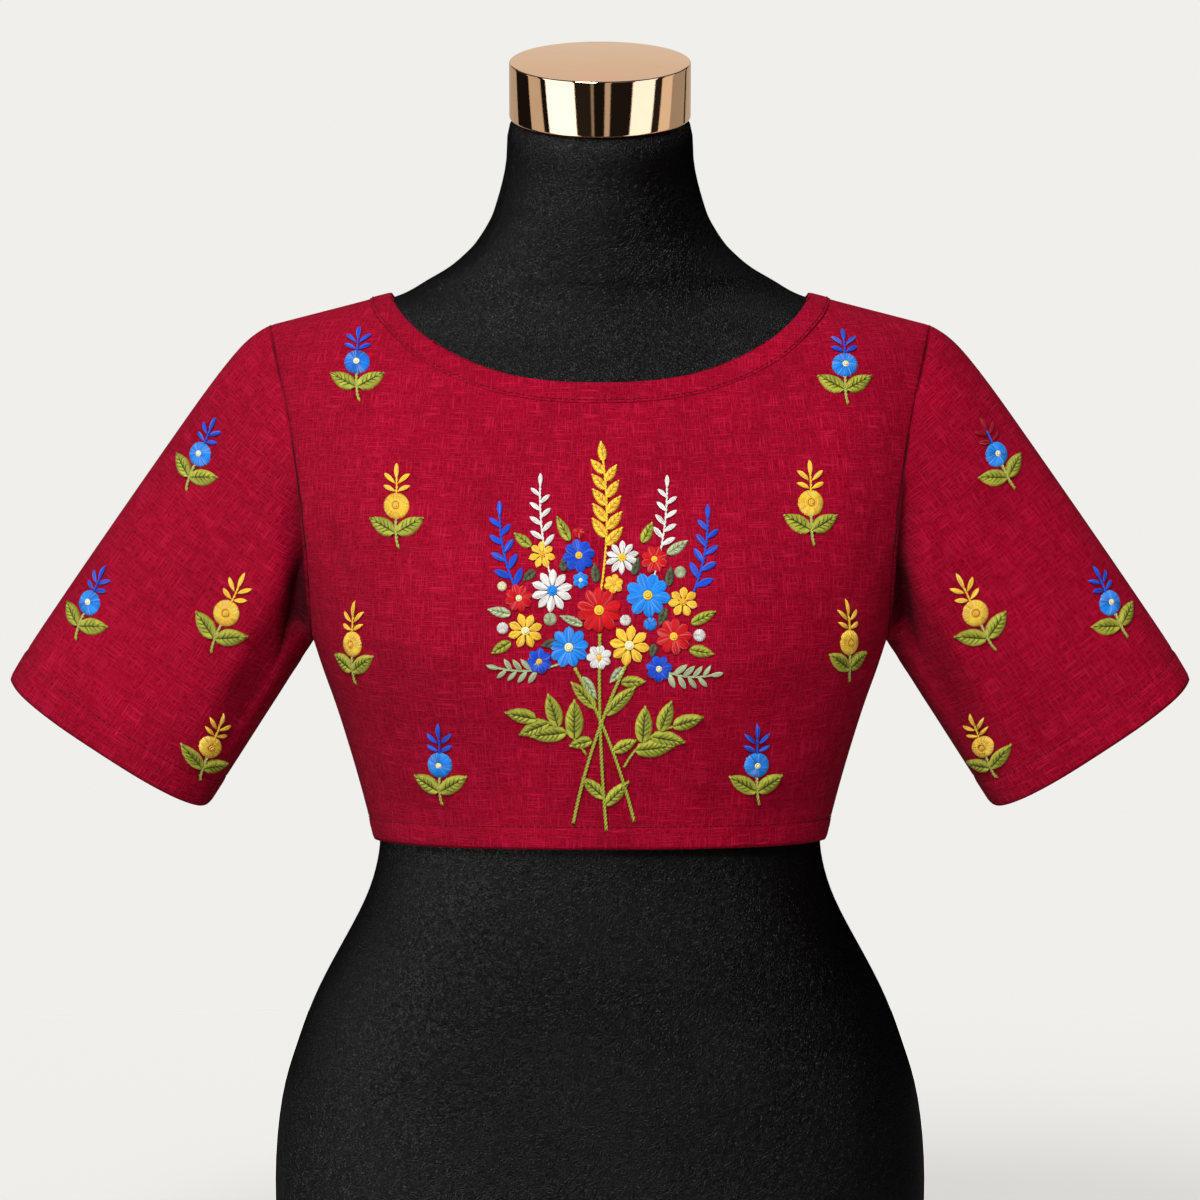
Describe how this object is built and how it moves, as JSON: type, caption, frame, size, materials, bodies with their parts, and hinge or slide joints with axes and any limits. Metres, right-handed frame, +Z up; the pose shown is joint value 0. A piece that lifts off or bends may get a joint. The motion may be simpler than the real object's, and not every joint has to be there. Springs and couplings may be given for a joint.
{
  "type": "embroidered blouse on a dress form",
  "caption": "Short fitted blouse with a wide scoop neck, elbow-length set-in sleeves and raised flower embroidery, standing on a limbless black dress form with a metal neck cap.",
  "frame": {"origin": "centre of the dress form's flat underside, on the floor below the middle of the neck opening", "axes": "+Z up, +X to the right of the view from the front (the blouse's own left-hand side), front facing -Y"},
  "size_m": [0.6632, 0.2461, 0.7237],
  "materials": {
    "form_cover": "matte black grained cover over a rigid foam form",
    "cap_metal": "polished rose-gold metal",
    "linen": "crimson slubby linen, plain weave",
    "thread_green": "olive green satin stitch, slight sheen",
    "thread_sage": "sage green satin stitch, slight sheen",
    "thread_yellow": "golden yellow satin stitch, slight sheen",
    "thread_sky": "sky blue satin stitch, slight sheen",
    "thread_blue": "royal blue satin stitch, slight sheen",
    "thread_red": "red satin stitch, slight sheen",
    "thread_white": "white satin stitch, slight sheen",
    "thread_crimson": "crimson sewing thread",
    "thread_cream": "cream French-knot thread"
  },
  "bodies": {
    "root": {"back": "linen", "bouquet_blossom_blue": "thread_blue", "bouquet_blossom_red": "thread_red", "bouquet_blossom_red_right": "thread_red", "bouquet_blossom_sky": "thread_sky", "bouquet_blossom_sky_top": "thread_sky", "bouquet_blossom_white": "thread_white", "bouquet_blossom_white_top": "thread_white", "bouquet_blossom_yellow": "thread_yellow", "bouquet_blossom_yellow_left": "thread_yellow", "bouquet_frond_left": "thread_sage", "bouquet_frond_right": "thread_sage", "bouquet_leaves_left": "thread_green", "bouquet_leaves_right": "thread_green", "bouquet_spray_blue_left": "thread_blue", "bouquet_spray_blue_right": "thread_blue", "bouquet_spray_white_left": "thread_white", "bouquet_spray_white_right": "thread_white", "bouquet_spray_yellow": "thread_yellow", "bouquet_stalks": "thread_green", "form_cap": "cap_metal", "form_torso": "form_cover", "front": "linen", "neck_band": "linen", "sleeve_left": "linen", "sleeve_right": "linen", "sprig_bust_left_flower": "thread_yellow", "sprig_bust_left_stem": "thread_green", "sprig_bust_right_flower": "thread_yellow", "sprig_bust_right_stem": "thread_green", "sprig_chest_left_flower": "thread_sky", "sprig_chest_left_stem": "thread_green", "sprig_chest_right_flower": "thread_sky", "sprig_chest_right_stem": "thread_green", "sprig_side_left_flower": "thread_yellow", "sprig_side_left_stem": "thread_green", "sprig_side_right_flower": "thread_yellow", "sprig_side_right_stem": "thread_green", "sprig_sleeve_left_inner_flower": "thread_yellow", "sprig_sleeve_left_inner_stem": "thread_green", "sprig_sleeve_left_low_flower": "thread_yellow", "sprig_sleeve_left_low_stem": "thread_green", "sprig_sleeve_left_outer_flower": "thread_sky", "sprig_sleeve_left_outer_stem": "thread_green", "sprig_sleeve_left_top_flower": "thread_sky", "sprig_sleeve_left_top_stem": "thread_green", "sprig_sleeve_right_inner_flower": "thread_yellow", "sprig_sleeve_right_inner_stem": "thread_green", "sprig_sleeve_right_low_flower": "thread_yellow", "sprig_sleeve_right_low_stem": "thread_green", "sprig_sleeve_right_outer_flower": "thread_sky", "sprig_sleeve_right_outer_stem": "thread_green", "sprig_sleeve_right_top_flower": "thread_sky", "sprig_sleeve_right_top_stem": "thread_green", "sprig_waist_left_flower": "thread_sky", "sprig_waist_left_stem": "thread_green", "sprig_waist_right_flower": "thread_sky", "sprig_waist_right_stem": "thread_green"}
  },
  "joints": []
}
